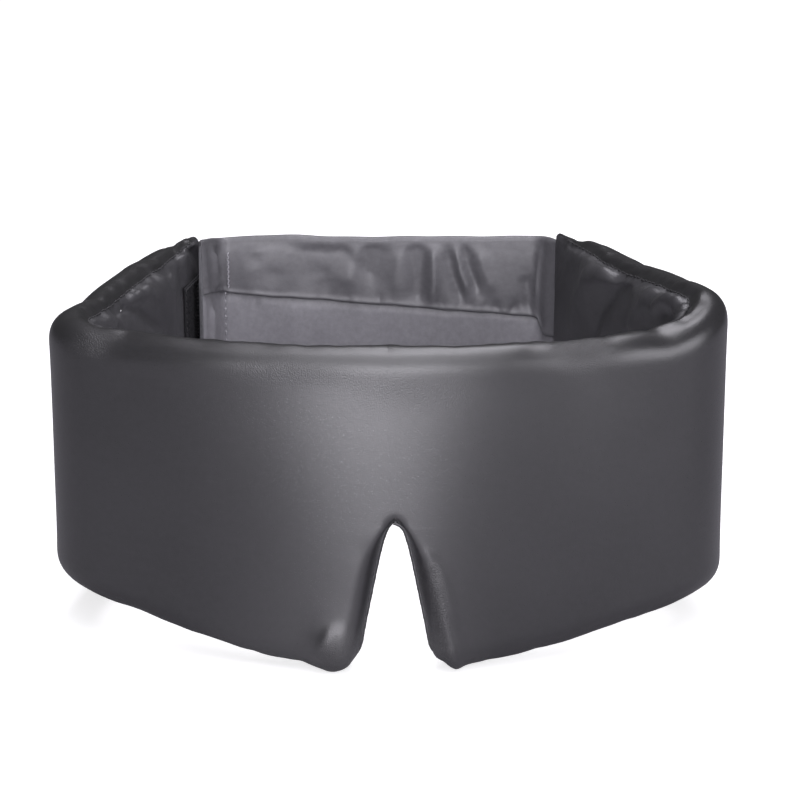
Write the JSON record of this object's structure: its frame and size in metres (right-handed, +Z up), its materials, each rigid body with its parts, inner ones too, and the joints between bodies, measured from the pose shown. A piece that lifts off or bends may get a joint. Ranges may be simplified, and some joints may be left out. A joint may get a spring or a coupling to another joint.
{
  "type": "sleep eye mask",
  "caption": "Padded wraparound sleep eye mask in dark satin with a nose notch, folding side wings and a wide back strap that closes with a hook-and-loop tab.",
  "frame": {"origin": "middle of the space for the head, at the height of the eyes", "axes": "-Y is the way the wearer faces, +X is to the right of somebody looking at the front, +Z is up"},
  "size_m": [0.2289, 0.1945, 0.1141],
  "materials": {
    "satin_front": "satin-weave cover cloth, dark grey, soft sheen",
    "satin_wing": "satin-weave cover cloth, dark grey, soft sheen",
    "satin_lining": "satin-weave lining cloth, dark grey, soft sheen",
    "satin_strap": "satin-weave strap cloth, dark grey, soft sheen",
    "wadding": "white lofted fibre wadding",
    "interlining": "thin white wadding",
    "blackout_cloth": "matt black opaque cloth",
    "thread": "twisted sewing thread and rolled seam edge, dark grey",
    "hook_tape": "hook tape, black, matt",
    "loop_tape": "loop tape, black, brushed"
  },
  "bodies": {
    "front": {"front_cover": "satin_front", "front_lining": "satin_lining", "front_wadding": "wadding", "blackout_layer_left": "blackout_cloth", "blackout_layer_right": "blackout_cloth", "front_top_seam": "thread", "front_bottom_seam_left": "thread", "front_bottom_seam_right": "thread", "nose_notch_piping": "thread"},
    "left_wing": {"left_wing_cover": "satin_wing", "left_wing_lining": "satin_lining", "left_wing_wadding": "wadding", "left_wing_top_seam": "thread", "left_wing_bottom_seam": "thread", "loop_patch": "loop_tape", "loop_patch_stitching": "thread"},
    "right_wing": {"right_wing_cover": "satin_wing", "right_wing_lining": "satin_lining", "right_wing_wadding": "wadding", "right_wing_top_seam": "thread", "right_wing_bottom_seam": "thread", "strap_root_band": "satin_strap"},
    "strap": {"strap_outer_panel": "satin_strap", "strap_inner_upper_panel": "satin_strap", "strap_inner_lower_panel": "satin_strap", "strap_interlining": "interlining"},
    "tab": {"tab_cover": "satin_strap", "hook_patch": "hook_tape", "tab_stitching": "thread"}
  },
  "joints": [
    {"name": "left_wing_swing", "type": "hinge", "parent": "front", "child": "left_wing", "pos_m": [-0.11116, -0.07079, 0], "axis": [0, 0, 1], "range_deg": [0, 70]},
    {"name": "right_wing_swing", "type": "hinge", "parent": "front", "child": "right_wing", "pos_m": [0.11182, -0.0694, 0], "axis": [0, 0, -1], "range_deg": [0, 70]},
    {"name": "strap_swing", "type": "hinge", "parent": "right_wing", "child": "strap", "pos_m": [0.05857, 0.07011, 0.016], "axis": [0, 0, 1], "range_deg": [0, 60]},
    {"name": "tab_peel", "type": "hinge", "parent": "strap", "child": "tab", "pos_m": [-0.0646, 0.08116, 0.016], "axis": [0, 0, 1], "range_deg": [0, 60]}
  ]
}
